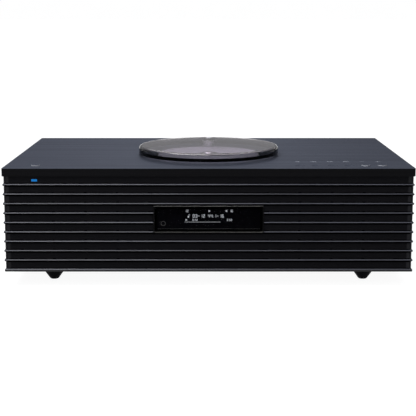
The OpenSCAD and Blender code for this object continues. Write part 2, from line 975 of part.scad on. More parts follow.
// Deck under the plate's round opening, with the posts that carry the player
module disc_well() {
    color([0.16, 0.16, 0.17])
        difference() {
            union() {
                translate([0, disc_y, deck_z])
                    cylinder(r = well_r + deck_lip, h = deck_t, $fn = 128);
                block([chassis_x0, chassis_y0, deck_z], [chassis_x1, disc_y, sheet_z]);
                block([chassis_x0, disc_y - overlap, deck_z], [chassis_x1, chassis_y1, sheet_z]);
                mount_places()
                    translate([0, 0, mount_post_z])
                        cylinder(r = mount_post_r, h = sheet_z - mount_post_z - overlap);
            }
            translate([0, disc_y, deck_z - overlap])
                cylinder(r = hub_hole_r, h = deck_t + 2 * overlap);
            pickup_slot(turret_r, deck_z - overlap, deck_t + 2 * overlap);
            mount_places()
                translate([0, 0, mount_post_z - overlap])
                    cylinder(r = mount_screw_r + thread_gap, h = mount_hole_d + overlap);
        }
}

module well_floor() {
    color([0.72, 0.71, 0.76])
        difference() {
            translate([0, disc_y, sheet_z])
                cylinder(r = well_r - panel_gap, h = floor_t, $fn = 128);
            translate([0, disc_y, sheet_z - overlap])
                cylinder(r = hub_hole_r, h = floor_t + 2 * overlap);
            pickup_slot(lens_r, sheet_z - overlap, floor_t + 2 * overlap);
        }
}

rod_lift = 6;
rod_z = mech_z + rod_lift;
tab_w = 5;
tab_h = 10;
tab_xs = [-rod_x, rod_x, screw_x];

module rod_bore(x, r) {
    translate([x, chassis_y0 - overlap, rod_z])
        rotate([-90, 0, 0])
            cylinder(r = r, h = chassis_y1 - chassis_y0 + 2 * overlap);
}

module mech_chassis() {
    color([0.45, 0.46, 0.48])
        difference() {
            union() {
                block([chassis_x0, chassis_y0, chassis_z], [chassis_x1, chassis_y1, mech_z]);
                for (x = tab_xs)
                    block(
                        [x - tab_w, chassis_y0, mech_z - overlap],
                        [x + tab_w, chassis_y0 + tab_t, mech_z + tab_h]
                    );
                for (x = [-rod_x, rod_x])
                    block(
                        [x - tab_w, chassis_y1 - tab_t, mech_z - overlap],
                        [x + tab_w, chassis_y1, mech_z + tab_h]
                    );
            }
            for (x = [-rod_x, rod_x])
                rod_bore(x, rod_r + fit_gap);
            translate([screw_x, chassis_y0 - overlap, rod_z])
                rotate([-90, 0, 0])
                    cylinder(r = screw_r + fit_gap, h = tab_t + 2 * overlap);
            mount_places()
                translate([0, 0, chassis_z - overlap])
                    cylinder(r = grommet_neck_r + thread_gap, h = chassis_t + 2 * overlap);
        }
}

// Soft spool in each corner of the chassis
module mech_grommets() {
    bore = mount_post_r + thread_gap;
    color([0.12, 0.12, 0.12])
        mount_places()
            translate([0, 0, chassis_z])
                rotate_extrude()
                    difference() {
                        translate([bore, -grommet_lip])
                            square([grommet_r - bore, chassis_t + 2 * grommet_lip]);
                        translate([grommet_neck_r, -thread_gap])
                            square([grommet_r, chassis_t + 2 * thread_gap]);
                    }
}

module mech_screws() {
    color(bright_metal)
        mount_places() {
            translate([0, 0, mount_post_z - mount_head_h])
                cylinder(r = mount_head_r, h = mount_head_h);
            translate([0, 0, mount_post_z - overlap])
                cylinder(r = mount_screw_r, h = mount_screw_len + overlap);
        }
}

shaft_foot = 2;
hub_neck_r = 4;
hub_lift = 2;
hub_neck_z = mech_z + motor_h + hub_lift;
seat_z = well_z + seat_h;
seat_t = 1;
boss_top_z = seat_z + boss_h;
boss_taper = 1.8;
cap_t = 1.5;
shaft_end_gap = 0.1;
disc_hole_r = 7.5;

module spindle_motor() {
    color([0.60, 0.61, 0.63])
        translate([0, disc_y, mech_z])
            difference() {
                cylinder(r = motor_r, h = motor_h);
                translate([0, 0, shaft_foot])
                    cylinder(r = shaft_r + fit_gap, h = motor_h);
            }
}

module spindle_shaft() {
    color(bright_metal)
        translate([0, disc_y, mech_z + shaft_foot + shaft_end_gap])
            cylinder(r = shaft_r, h = boss_top_z - cap_t - mech_z - shaft_foot - 2 * shaft_end_gap);
}

// Disc seat and centring boss, pressed on the spindle shaft
module disc_hub() {
    color([0.20, 0.20, 0.22])
        translate([0, disc_y, 0])
            difference() {
                rotate_extrude()
                    polygon([
                        [0, hub_neck_z], [hub_neck_r, hub_neck_z], [hub_neck_r, seat_z - seat_t],
                        [hub_r, seat_z - seat_t], [hub_r, seat_z], [boss_r, seat_z],
                        [boss_r, boss_top_z - boss_taper], [boss_r - boss_taper, boss_top_z],
                        [0, boss_top_z]
                    ]);
                translate([0, 0, hub_neck_z - overlap])
                    cylinder(r = shaft_r + thread_gap, h = boss_top_z - cap_t - hub_neck_z + overlap);
            }
}

module disc() {
    color([0.75, 0.73, 0.80])
        translate([0, disc_y, seat_z])
            difference() {
                cylinder(r = disc_r, h = disc_t, $fn = 128);
                translate([0, 0, -overlap])
                    cylinder(r = disc_hole_r, h = disc_t + 2 * overlap);
            }
}

module guide_rods() {
    color(bright_metal)
        for (x = [-rod_x, rod_x])
            translate([x, chassis_y0, rod_z])
                rotate([-90, 0, 0])
                    cylinder(r = rod_r, h = chassis_y1 - chassis_y0);
}

sled_lift = 2;
sled_h = 8.5;
sled_side = 5;
sled_z = mech_z + sled_lift;
turret_drop = 1;
turret_top_z = sheet_z - turret_drop;
lens_r = 2.2;
lens_h = 1.2;

// Carriage on the two rods, driven by the lead screw that passes through it
module pickup_sled() {
    y0 = lens_y - sled_tail;
    y1 = lens_y + sled_nose;
    color([0.25, 0.25, 0.26])
        difference() {
            union() {
                block([-rod_x - sled_side, y0, sled_z], [screw_x + sled_side, y1, sled_z + sled_h]);
                translate([0, lens_y, sled_z])
                    cylinder(r = turret_r, h = turret_top_z - sled_z);
            }
            for (x = [-rod_x, rod_x])
                rod_bore(x, rod_r + fit_gap);
            rod_bore(screw_x, screw_r + fit_gap);
        }
}

module pickup_lens() {
    color([0.45, 0.55, 0.75, 0.7])
        translate([0, lens_y, turret_top_z])
            intersection() {
                cylinder(r = lens_r, h = lens_h);
                translate([0, 0, lens_h - 2 * lens_r])
                    sphere(r = 2 * lens_r);
            }
}

sled_motor_r = 6.5;
sled_motor_y0 = lens_y + sled_nose + tab_gap;
sled_motor_end = tab_t + 1;
sled_motor_y1 = chassis_y1 - sled_motor_end;
screw_seat = 5;
saddle_w = 8;

module sled_motor() {
    color([0.60, 0.61, 0.63])
        difference() {
            translate([screw_x, sled_motor_y0, rod_z])
                rotate([-90, 0, 0])
                    cylinder(r = sled_motor_r, h = sled_motor_y1 - sled_motor_y0);
            translate([screw_x, sled_motor_y0 - overlap, rod_z])
                rotate([-90, 0, 0])
                    cylinder(r = screw_r + fit_gap, h = screw_seat + 2 * overlap);
            block(
                [screw_x - saddle_w, sled_motor_y0 - overlap, chassis_z - saddle_w],
                [screw_x + saddle_w, sled_motor_y1 + overlap, mech_z]
            );
        }
}

module lead_screw() {
    color(bright_metal)
        translate([screw_x, chassis_y0, rod_z])
            rotate([-90, 0, 0])
                cylinder(r = screw_r, h = sled_motor_y0 + screw_seat - chassis_y0);
}

// Speakers, drawn with the flange's face on z = 0 and the sound going to +Z

flange_t = 2.5;
basket_t = 2;
coil_gap = 0.5;
former_t = 0.6;
magnet_h = 14;
back_plate_t = 3;
ring_t = 2;
coil_end_gap = 1;
cone_t = 0.9;
surround_t = 0.8;
surround_gap = 0.3;
surround_lip = 0.5;
window_count = 6;
cap_rise = 3;
neck_w = 6;
cone_room = 3;
back_step = 2;

function open_r(frame_r) = frame_r - 2 * hole_lip;

module driver_frame(frame_r, coil_r, magnet_r, depth) {
    mouth_r = open_r(frame_r);
    neck_r = coil_r + neck_w;
    window_w = neck_r / 2;
    basket_h = depth - magnet_h;
    gap_r = coil_r + coil_gap;
    pole_r = coil_r - former_t - coil_gap;
    plate_top = back_plate_t - depth;
    color([0.20, 0.20, 0.21])
        difference() {
            rotate_extrude()
                polygon([
                    [0, -depth], [magnet_r - back_step, -depth],
                    [magnet_r - back_step, plate_top], [magnet_r, plate_top],
                    [magnet_r, -basket_h - ring_t], [neck_r + basket_t, -basket_h - ring_t],
                    [neck_r + basket_t, -basket_h], [mouth_r + basket_t, -flange_t],
                    [frame_r, -flange_t], [frame_r, 0], [mouth_r, 0], [mouth_r, -flange_t],
                    [neck_r, -basket_h], [gap_r, -basket_h], [gap_r, plate_top],
                    [pole_r, plate_top], [pole_r, -basket_h], [0, -basket_h]
                ]);
            for (i = [0:window_count - 1])
                rotate(i * 360 / window_count)
                    block(
                        [neck_r - basket_t, -window_w / 2, -basket_h + ring_t],
                        [frame_r, window_w / 2, -flange_t - ring_t]
                    );
        }
}

module driver_cone(cone_r, coil_r, depth, travel) {
    cone_h = depth - magnet_h - travel - cone_room;
    former_end = depth - back_plate_t - travel - coil_end_gap;
    inner_r = coil_r - former_t;
    cap_r = (coil_r * coil_r + cap_rise * cap_rise) / (2 * cap_rise);
    color([0.17, 0.17, 0.18]) {
        rotate_extrude()
            polygon([
                [inner_r, -former_end], [coil_r, -former_end], [coil_r, -cone_h],
                [cone_r, 0], [cone_r, cone_t], [inner_r, cone_t - cone_h]
            ]);
        translate([0, 0, -cone_h])
            intersection() {
                cylinder(r = coil_r - former_t / 2, h = cone_t + cap_rise);
                translate([0, 0, cone_t + cap_rise - cap_r])
                    sphere(r = cap_r);
            }
    }
}

module driver_surround(frame_r, cone_r) {
    mouth_r = open_r(frame_r);
    roll_r = (mouth_r - cone_r - surround_gap) / 2;
    color([0.08, 0.08, 0.08])
        rotate_extrude() {
            intersection() {
                translate([cone_r + surround_gap + roll_r, 0])
                    difference() {
                        circle(roll_r);
                        circle(roll_r - surround_t);
                    }
                square([frame_r, roll_r]);
            }
            translate([mouth_r - surround_t / 2, 0])
                square([hole_lip - surround_lip + surround_t / 2, surround_t]);
        }
}

module woofer_frame(side) {
    facing_front(side * woofer_x, baffle_back_y)
        driver_frame(woofer_frame_r, woofer_coil_r, woofer_magnet_r, woofer_depth);
}

module woofer_surround(side) {
    facing_front(side * woofer_x, baffle_back_y)
        driver_surround(woofer_frame_r, woofer_cone_r);
}

module woofer_cone(side) {
    facing_front(side * woofer_x, baffle_back_y)
        driver_cone(woofer_cone_r, woofer_coil_r, woofer_depth, woofer_travel);
}

module woofer_frame_left() { woofer_frame(-1); }
module woofer_frame_right() { woofer_frame(1); }
module woofer_surround_left() { woofer_surround(-1); }
module woofer_surround_right() { woofer_surround(1); }
module woofer_cone_left() { woofer_cone(-1); }
module woofer_cone_right() { woofer_cone(1); }

tweeter_plate_t = 3;
tweeter_cup_r = 13;
tweeter_cup_h = 16;
dome_rise = 3;
horn_lip = 1.5;

// Dome tweeter: plate with a shallow horn, dome and magnet cup
module tweeter(side) {
    sphere_r = (dome_r * dome_r + dome_rise * dome_rise) / (2 * dome_rise);
    color([0.18, 0.18, 0.20])
        facing_front(side * tweeter_x, baffle_back_y) {
            difference() {
                union() {
                    translate([0, 0, -tweeter_plate_t])
                        cylinder(r = tweeter_r, h = tweeter_plate_t);
                    translate([0, 0, -tweeter_cup_h])
                        cylinder(r = tweeter_cup_r, h = tweeter_cup_h - overlap);
                }
                translate([0, 0, -tweeter_plate_t + horn_lip])
                    cylinder(r1 = dome_r, r2 = dome_r + horn_lip, h = horn_lip);
            }
            translate([0, 0, -tweeter_plate_t])
                intersection() {
                    cylinder(r = dome_r, h = tweeter_plate_t + dome_rise);
                    translate([0, 0, horn_lip + dome_rise - sphere_r])
                        sphere(r = sphere_r);
                }
        }
}

module tweeter_left() { tweeter(-1); }
module tweeter_right() { tweeter(1); }

module facing_down() {
    translate([0, 0, sub_z])
        rotate([180, 0, 0])
            children();
}

module subwoofer_frame() {
    facing_down()
        driver_frame(sub_frame_r, sub_coil_r, sub_magnet_r, sub_depth);
}

module subwoofer_surround() {
    facing_down()
        driver_surround(sub_frame_r, sub_cone_r);
}

module subwoofer_cone() {
    facing_down()
        driver_cone(sub_cone_r, sub_coil_r, sub_depth, sub_travel);
}

// Electronics

heatsink_w = 60;
heatsink_d = 30;
heatsink_h = 34;
heatsink_base = 4;
heatsink_fins = 8;
heatsink_fin_t = 2;
heatsink_inset = 13;
heatsink_x = board_x + heatsink_inset;
heatsink_y = board_y0 + heatsink_inset;

// Finned block that cools the amplifier
module heatsink() {
    translate([heatsink_x, heatsink_y, jack_z - overlap]) {
        cube([heatsink_w, heatsink_base, heatsink_h]);
        for (i = [0:heatsink_fins - 1])
            translate([i * (heatsink_w - heatsink_fin_t) / (heatsink_fins - 1), 0, 0])
                cube([heatsink_fin_t, heatsink_d, heatsink_h]);
    }
}

module main_board() {
    color(board_green)
        block([board_x, board_y0, board_z], [board_x + board_w, board_y1, jack_z]);
    color([0.5, 0.5, 0.52])
        heatsink();
}

transformer_w = 46;
transformer_d = 40;
transformer_h = 36;
capacitor_r = 9;
capacitor_h = 34;
capacitor_pitch = 22;
part_inset = 14;
capacitor_inset = 20;
capacitor_y0 = board_y0 + capacitor_inset;

// Board with the mains transformer and its two reservoir capacitors
module power_board() {
    x0 = -board_x - board_w;
    color(board_green)
        block([x0, board_y0, board_z], [-board_x, board_y1, jack_z]);
    color([0.35, 0.33, 0.30])
        translate([x0 + part_inset, board_y0 + part_inset, jack_z - overlap])
            cube([transformer_w, transformer_d, transformer_h]);
    color([0.12, 0.13, 0.16])
        for (i = [0, 1])
            translate([-board_x - capacitor_inset, capacitor_y0 + i * capacitor_pitch, jack_z - overlap])
                cylinder(r = capacitor_r, h = capacitor_h);
}

pin_contact_r = 1.2;
inlet_pin_x = 4.4;
inlet_depth = 12;
inlet_wall = 2;

// Two-pin mains inlet with a flange on the rear panel
module ac_inlet() {
    color(black)
        facing_rear(inlet_x, rear_y, inlet_z)
            difference() {
                union() {
                    linear_extrude(inlet_flange_t)
                        stadium(inlet_w + 2 * inlet_flange_w, inlet_h + 2 * inlet_flange_w);
                    translate([0, 0, -inlet_len])
                        linear_extrude(inlet_len + overlap)
                            stadium(inlet_w, inlet_h);
                }
                translate([0, 0, inlet_flange_t - inlet_depth])
                    linear_extrude(inlet_depth + overlap)
                        difference() {
                            stadium(inlet_w - 2 * inlet_wall, inlet_h - 2 * inlet_wall);
                            for (x = [-inlet_pin_x, inlet_pin_x])
                                translate([x, 0])
                                    circle(pin_contact_r);
                        }
            }
}

jack_wall = 1.4;
jack_depth = 12;

// Square socket on the main board, open to the rear
module square_jack(x, w, h) {
    facing_rear(x, rear_y + jack_proud, jack_z + h / 2)
        difference() {
            translate([0, 0, -jack_len])
                linear_extrude(jack_len)
                    square([w, h], center = true);
            translate([0, 0, -jack_depth])
                linear_extrude(jack_depth + overlap)
                    square([w - 2 * jack_wall, h - 2 * jack_wall], center = true);
        }
}

module lan_jack() {
    color(bright_metal)
        square_jack(lan_x, lan_w, lan_h);
}

module usb_port() {
    color(bright_metal)
        square_jack(usb_x, usb_w, usb_h);
}

// Round socket on the main board: body behind the panel and a barrel through it
module round_jack(x, barrel_r, bore_r, w, h) {
    facing_rear(x, rear_y + jack_proud, jack_z + h / 2)
        difference() {
            union() {
                translate([0, 0, -jack_len])
                    linear_extrude(jack_len - rear_t - jack_proud - panel_gap)
                        square([w, h], center = true);
                translate([0, 0, -jack_len + overlap])
                    cylinder(r = barrel_r, h = jack_len - overlap);
            }
            translate([0, 0, -jack_depth])
                cylinder(r = bore_r, h = jack_depth + overlap);
        }
}

aux_bore_r = 1.8;
antenna_bore_r = 2.2;

module aux_jack() {
    color(black)
        round_jack(aux_x, aux_r, aux_bore_r, aux_w, aux_h);
}

module antenna_jack() {
    color(bright_metal)
        round_jack(antenna_x, antenna_r, antenna_bore_r, antenna_w, antenna_h);
}

top_panel();
front_grille();
left_grille();
right_grille();
grille_cloth();
front_baffle();
rear_panel();
bottom_plate();
feet();
foot_screws();
rear_screws();
display_frame();
display_window();
display_panel();
display_board();
power_led();
power_key_board();
key_board();
button_power();
button_input();
button_previous();
button_play();
button_next();
button_volume_down();
button_volume_up();
lid_cover();
lid_ring();
lid_post();
lid_nut();
disc_well();
well_floor();
mech_chassis();
mech_grommets();
mech_screws();
spindle_motor();
spindle_shaft();
disc_hub();
disc();
guide_rods();
pickup_sled();
pickup_lens();
sled_motor();
lead_screw();
woofer_frame_left();
woofer_frame_right();
woofer_surround_left();
woofer_surround_right();
woofer_cone_left();
woofer_cone_right();
tweeter_left();
tweeter_right();
subwoofer_frame();
subwoofer_surround();
subwoofer_cone();
bass_port();
main_board();
power_board();
ac_inlet();
lan_jack();
usb_port();
aux_jack();
antenna_jack();
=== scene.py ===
"""Looks of a one-box music system: finishes, fine pieces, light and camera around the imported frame.

Sizes and places of the fine pieces are in millimetres, and those of textures, lamps and camera in metres.
"""

import json
import math
from collections import namedtuple

import bmesh
import bpy
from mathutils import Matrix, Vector


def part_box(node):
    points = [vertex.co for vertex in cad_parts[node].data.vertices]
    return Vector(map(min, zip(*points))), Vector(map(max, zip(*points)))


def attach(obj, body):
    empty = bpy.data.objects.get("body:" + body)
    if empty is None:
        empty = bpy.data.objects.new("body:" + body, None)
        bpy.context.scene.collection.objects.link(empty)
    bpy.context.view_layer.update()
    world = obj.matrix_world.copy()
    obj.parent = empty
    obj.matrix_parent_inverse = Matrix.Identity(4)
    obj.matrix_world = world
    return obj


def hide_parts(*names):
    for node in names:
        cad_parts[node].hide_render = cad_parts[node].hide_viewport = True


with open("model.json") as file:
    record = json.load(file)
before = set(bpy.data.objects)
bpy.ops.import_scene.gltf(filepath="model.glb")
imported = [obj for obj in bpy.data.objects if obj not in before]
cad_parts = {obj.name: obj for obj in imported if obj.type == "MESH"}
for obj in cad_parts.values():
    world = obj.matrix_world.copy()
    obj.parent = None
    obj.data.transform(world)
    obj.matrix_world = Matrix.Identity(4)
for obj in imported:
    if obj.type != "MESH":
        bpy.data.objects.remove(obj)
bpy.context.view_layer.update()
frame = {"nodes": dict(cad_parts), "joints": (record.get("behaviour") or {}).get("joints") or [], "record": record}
nodes = frame["nodes"]

MM = 0.001
Box = namedtuple("Box", "left front low right rear top")


def box_of(node):
    """Sides of a CAD node in millimetres, to a hundredth, as the mesh of a round one is a little off."""
    first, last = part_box(node)
    return Box(*(round(value / MM, 2) for value in (*first, *last)))


hinges = {joint["name"]: joint["pos_m"] for joint in frame["joints"] if "pos_m" in joint}
DISC = Vector((*hinges["disc_spin"][:2], 0))
PIN = Vector((*hinges["lid_swing"][:2], 0))

# Colours


def srgb(red, green, blue):
    """Linear colour of an sRGB one given from 0 to 255."""
    def linear(value):
        value /= 255
        return value / 12.92 if value <= 0.04045 else ((value + 0.055) / 1.055) ** 2.4
    return (linear(red), linear(green), linear(blue), 1)


def grey(value):
    return (value, value, value, 1)


WHITE = grey(1)
SMOKE = (0.53, 0.47, 0.45, 1)
# Body of the lid's wall: partly the plastic's smoke, mostly painted shade
SIDE_SMOKE_AND_SHADE = grey(0.5)
PLATE_TINT = (0.42, 0.45, 0.535, 1)
BORE_TINT = (0.05, 0.05, 0.055, 1)

# Finishes

HAIR_DEPTH = 0.000004
THREAD_DEPTH = 0.00015
finishes = {}


class Finish:
    """A material, kept in finishes by its name, whose principled shader is fed by procedural textures."""

    def __init__(self, name, **sockets):
        self.material = bpy.data.materials.new(name)
        self.material.use_nodes = True
        self.tree = self.material.node_tree
        self.shader = self.tree.nodes["Principled BSDF"]
        self.output = self.tree.nodes["Material Output"]
        self.place = self.add("TexCoord").outputs["Object"]
        self.set(**sockets)
        finishes[name] = self.material

    def feed(self, socket, value):
        """Links another node's output to a socket, or gives the socket a plain value."""
        if isinstance(value, bpy.types.NodeSocket):
            self.tree.links.new(value, socket)
        else:
            socket.default_value = value

    def fill(self, node, sockets):
        for name, value in sockets.items():
            self.feed(node.inputs[name.replace("_", " ")], value)

    def set(self, **sockets):
        self.fill(self.shader, sockets)

    def add(self, kind, **sockets):
        node = self.tree.nodes.new("ShaderNode" + kind)
        self.fill(node, sockets)
        return node

    def work(self, kind, operation, values):
        """Node that works out an operation on plain values or other nodes' outputs."""
        node = self.add(kind)
        node.operation = operation
        for socket, value in zip(node.inputs, values):
            self.feed(socket, value)
        return node

    def math(self, operation, *values):
        return self.work("Math", operation, values).outputs["Value"]

    def vector(self, operation, *values):
        return self.work("VectorMath", operation, values).outputs["Vector"]

    def length(self, vector):
        return self.work("VectorMath", "LENGTH", [vector]).outputs["Value"]

    def noise(self, cells, detail):
        """Noise with so many cells per metre along x, y and z."""
        place = self.vector("MULTIPLY", self.place, cells)
        return self.add("TexNoise", Vector=place, Scale=1.0, Detail=detail).outputs["Fac"]

    def waves(self, pitch, direction):
        """Even ripples of that pitch in metres across one axis."""
        node = self.add("TexWave", Vector=self.place, Scale=math.pi / 10 / pitch)
        node.bands_direction = direction
        return node.outputs["Fac"]

    def middle(self, a, b):
        """The mean of two textures."""
        return self.math("MULTIPLY", self.math("ADD", a, b), 0.5)

    def ramp(self, factor, *stops):
        """Colour that runs through (position, colour) stops."""
        node = self.add("ValToRGB", Fac=factor)
        elements = node.color_ramp.elements
        while len(elements) < len(stops):
            elements.new(0.5)
        for element, (position, colour) in zip(elements, stops):
            element.position = position
            element.color = colour
        return node.outputs["Color"]

    def span(self, factor, low, high):
        """Number that runs from low to high over the usual range of a noise."""
        return self.add(
            "MapRange", Value=factor, From_Min=0.3, From_Max=0.7, To_Min=low, To_Max=high
        ).outputs["Result"]

    def product(self, a, b):
        """One colour times another."""
        node = self.add("Mix", Factor=1.0)
        node.data_type = "RGBA"
        node.blend_type = "MULTIPLY"
        self.fill(node, {"A": a, "B": b})
        return node.outputs["Result"]

    def bump(self, height, depth):
        """Relief of that depth in metres."""
        self.set(Normal=self.add("Bump", Height=height, Distance=depth).outputs["Normal"])


def grained(name, dark, light, rough, cells=900, depth=0.00003, gloss=0.5):
    """Fine even grain, as of paint, moulded plastic, rubber or cast metal."""
    finish = Finish(name, Specular_IOR_Level=gloss)
    grain = finish.noise([cells] * 3, 4)
    cloud = finish.noise([35] * 3, 2)
    mixed = finish.math("MULTIPLY_ADD", cloud, 0.5, finish.math("MULTIPLY", grain, 0.5))
    finish.set(
        Base_Color=finish.ramp(mixed, (0.35, dark), (0.65, light)),
        Roughness=finish.span(grain, rough - 0.05, rough + 0.05),
    )
    finish.bump(grain, depth)


def brushed(name, dark, light, rough, along, metal=1.0, gloss=0.5, tint=WHITE):
    """Metal with hairlines that run along one axis. Its colour turns to tint at a flat angle."""
    fine = [4200] * 3
    broad = [420] * 3
    fine[along] = 14
    broad[along] = 3
    finish = Finish(name, Metallic=metal, Specular_IOR_Level=gloss, Specular_Tint=tint)
    hair = finish.noise(fine, 2)
    mixed = finish.middle(hair, finish.noise(broad, 2))
    finish.set(
        Base_Color=finish.ramp(mixed, (0.36, dark), (0.64, light)),
        Roughness=finish.span(mixed, rough + 0.06, rough - 0.06),
    )
    finish.bump(hair, HAIR_DEPTH)


def woven(name, dark, light, pitch):
    """Plain weave of round threads that run along x and z."""
    finish = Finish(name, Specular_IOR_Level=0.08, Sheen_Weight=0.02, Sheen_Roughness=0.4)
    threads = finish.math("MULTIPLY", finish.waves(pitch, "X"), finish.waves(pitch, "Z"))
    fibre = finish.noise([2500] * 3, 2)
    finish.set(
        Base_Color=finish.ramp(finish.middle(threads, fibre), (0.2, dark), (0.75, light)),
        Roughness=finish.span(fibre, 0.8, 0.95),
    )
    finish.bump(threads, THREAD_DEPTH)


def spun(name, dark, light, rough, metal=1.0, bore_r=None):
    """Bright plate with fine turning marks round the disc's axis, dark inside a bore of that radius."""
    finish = Finish(name, Metallic=metal)
    away = finish.vector("SUBTRACT", finish.place, DISC)
    rings = finish.add("TexWave", Vector=away, Scale=520.0, Distortion=1.5, Detail=2.0)
    rings.wave_type = "RINGS"
    rings.rings_direction = "Z"
    marks = finish.middle(rings.outputs["Fac"], finish.noise([30] * 3, 2))
    colour = finish.ramp(marks, (0.25, dark), (0.75, light))
    if bore_r:
        reach = finish.length(finish.vector("MULTIPLY", away, (1, 1, 0)))
        share = finish.math("DIVIDE", reach, 2 * bore_r)
        colour = finish.product(colour, finish.ramp(share, (0.48, BORE_TINT), (0.52, WHITE)))
    finish.set(Base_Color=colour, Roughness=finish.span(marks, rough - 0.04, rough + 0.06))
    finish.bump(rings.outputs["Fac"], HAIR_DEPTH)


def clear(name, tint_low, tint_high, ior, lamp_tint=None, body=None, density=0.0):
    """See-through plastic with faint wipe marks. Lamp light goes straight through it in lamp_tint.

    Where a body colour is given, light takes it on over its way through the plastic.
    """
    finish = Finish(name, Transmission_Weight=1.0, IOR=ior)
    wipe = finish.noise((60, 25, 40), 4)
    finish.set(
        Base_Color=finish.ramp(wipe, (0.3, tint_low), (0.7, tint_high)),
        Roughness=finish.span(wipe, 0.0, 0.03),
    )
    if lamp_tint:
        rays = finish.add("LightPath").outputs
        lit = finish.math("MAXIMUM", rays["Is Shadow Ray"], rays["Is Diffuse Ray"])
        passing = finish.add("BsdfTransparent", Color=lamp_tint)
        either = finish.add("MixShader", Fac=lit)
        finish.feed(either.inputs[1], finish.shader.outputs["BSDF"])
        finish.feed(either.inputs[2], passing.outputs["BSDF"])
        finish.feed(finish.output.inputs["Surface"], either.outputs["Shader"])
    if body:
        smoke = finish.add("VolumeAbsorption", Color=body, Density=density)
        finish.feed(finish.output.inputs["Volume"], smoke.outputs["Volume"])


def glowing(name, colour, strength):
    """Lit surface with the slight unevenness of a lamp behind a diffuser."""
    finish = Finish(name, Roughness=0.4, Specular_IOR_Level=0.2, Emission_Strength=strength)
    dim = (*(0.82 * part for part in colour[:3]), 1)
    lit = finish.ramp(finish.noise([1500] * 3, 2), (0.3, dim), (0.7, colour))
    finish.set(Base_Color=lit, Emission_Color=lit)


brushed("plate", srgb(53, 56, 66), srgb(75, 80, 93), 0.5, along=0, metal=0.6, tint=PLATE_TINT)
brushed("plate_edge", srgb(10, 10, 12), srgb(18, 18, 21), 0.45, along=0, metal=0.0, gloss=0.05)
grained("fins", srgb(18, 18, 21), srgb(30, 30, 35), 0.5, gloss=0.14)
# Painted shade: near black for the faces of the grilles that face the front, standing in for the shade along the
# fins
grained("painted_groove_shade", srgb(1, 1, 2), srgb(4, 4, 5), 0.9, gloss=0.0)
# Painted highlight: lighter than the fins, for the faces that look up, standing in for the light on the fins' tops
brushed("painted_fin_highlight", srgb(56, 57, 64), srgb(82, 84, 94), 0.35, along=0, metal=0.0, gloss=0.26)
woven("net", srgb(10, 10, 12), srgb(32, 32, 37), 0.0009)
woven("cloth", srgb(6, 6, 7), srgb(18, 18, 20), 0.0006)
grained("baffle", srgb(28, 25, 23), srgb(44, 40, 37), 0.75, cells=500, gloss=0.2)
grained("panel", srgb(17, 17, 18), srgb(30, 30, 32), 0.6, cells=1600, depth=0.00006, gloss=0.3)
grained("foot", srgb(7, 7, 9), srgb(15, 15, 18), 0.6, gloss=0.02)
brushed("steel", srgb(168, 168, 172), srgb(214, 214, 218), 0.25, along=2)
grained("bezel", srgb(6, 6, 7), srgb(12, 12, 13), 0.4, gloss=0.06)
# Painted highlight: a light finish for the faces of the display frame that look up
brushed("bezel_painted_highlight", srgb(188, 187, 183), srgb(214, 213, 209), 0.35, along=0, metal=0.2)
clear("window", (0.30, 0.30, 0.32, 1), (0.34, 0.34, 0.36, 1), 1.03, grey(0.6))
grained("screen", srgb(28, 27, 34), srgb(40, 39, 48), 0.7, gloss=0.05)
grained("circuit", srgb(16, 44, 27), srgb(30, 74, 45), 0.45, cells=300)
glowing("light", srgb(18, 118, 196), 0.5)
glowing("glyph", srgb(225, 228, 230), 1.8)
grained("ring", srgb(44, 43, 44), srgb(66, 65, 66), 0.4)
grained("print", srgb(120, 124, 134), srgb(158, 162, 172), 0.6, cells=2500)
brushed("button", srgb(54, 57, 67), srgb(78, 83, 96), 0.5, along=0, metal=0.6, tint=PLATE_TINT)
# Painted highlight: pale finish for the upright sides and rounds of the raised keys, standing in for the light
# caught on their front rims
brushed("button_rim_painted_highlight", srgb(136, 139, 148), srgb(166, 169, 178), 0.6, along=0, metal=0.2)
clear("lid", (0.92, 0.89, 0.96, 1), (0.96, 0.93, 0.99, 1), 1.49, grey(0.93), SMOKE, density=180)
# Painted shade: the lid's wall is a denser, darker copy of its plastic, for the dark seen in its side; its smoke
# is partly real
clear("lid_side_shaded", (0.93, 0.95, 0.97, 1), (0.96, 0.98, 1.0, 1), 1.2, grey(0.85), SIDE_SMOKE_AND_SHADE, density=1150)
brushed("post", srgb(232, 231, 238), srgb(248, 247, 253), 0.42, along=2)
brushed("cap", srgb(236, 234, 242), srgb(250, 248, 253), 0.16, along=0, metal=0.9)
spun("disc", srgb(188, 184, 206), srgb(214, 210, 232), 0.34, metal=0.2, bore_r=10.8 * MM)
spun("silver", srgb(150, 148, 156), srgb(186, 184, 192), 0.34)
grained("deck", srgb(70, 69, 75), srgb(92, 91, 98), 0.5)
brushed("chassis", srgb(112, 114, 118), srgb(150, 152, 156), 0.35, along=1)
grained("rubber", srgb(14, 14, 14), srgb(26, 26, 26), 0.8, gloss=0.3)
brushed("motor", srgb(138, 140, 144), srgb(182, 184, 188), 0.3, along=2)
grained("hub", srgb(52, 51, 54), srgb(78, 77, 81), 0.3, gloss=0.6)
clear("lens", (0.45, 0.58, 0.85, 1), (0.55, 0.66, 0.9, 1), 1.5)
grained("driver", srgb(34, 34, 36), srgb(54, 54, 57), 0.45)
grained("cone", srgb(26, 26, 27), srgb(46, 45, 45), 0.85, cells=450, depth=0.0001, gloss=0.2)
grained("socket", srgb(18, 18, 19), srgb(32, 32, 34), 0.5, cells=1500)

# Finishes on the frame's own nodes

SHARP_ANGLE = math.radians(35)
SMOOTH_ANGLE = math.radians(40)


def facing_up(face):
    return face.normal.z > 0.3


def level(face):
    return face.normal.z > 0.9


def upright(face):
    return abs(face.normal.z) < 0.5


def facing_front(face):
    return face.normal.y < -0.99


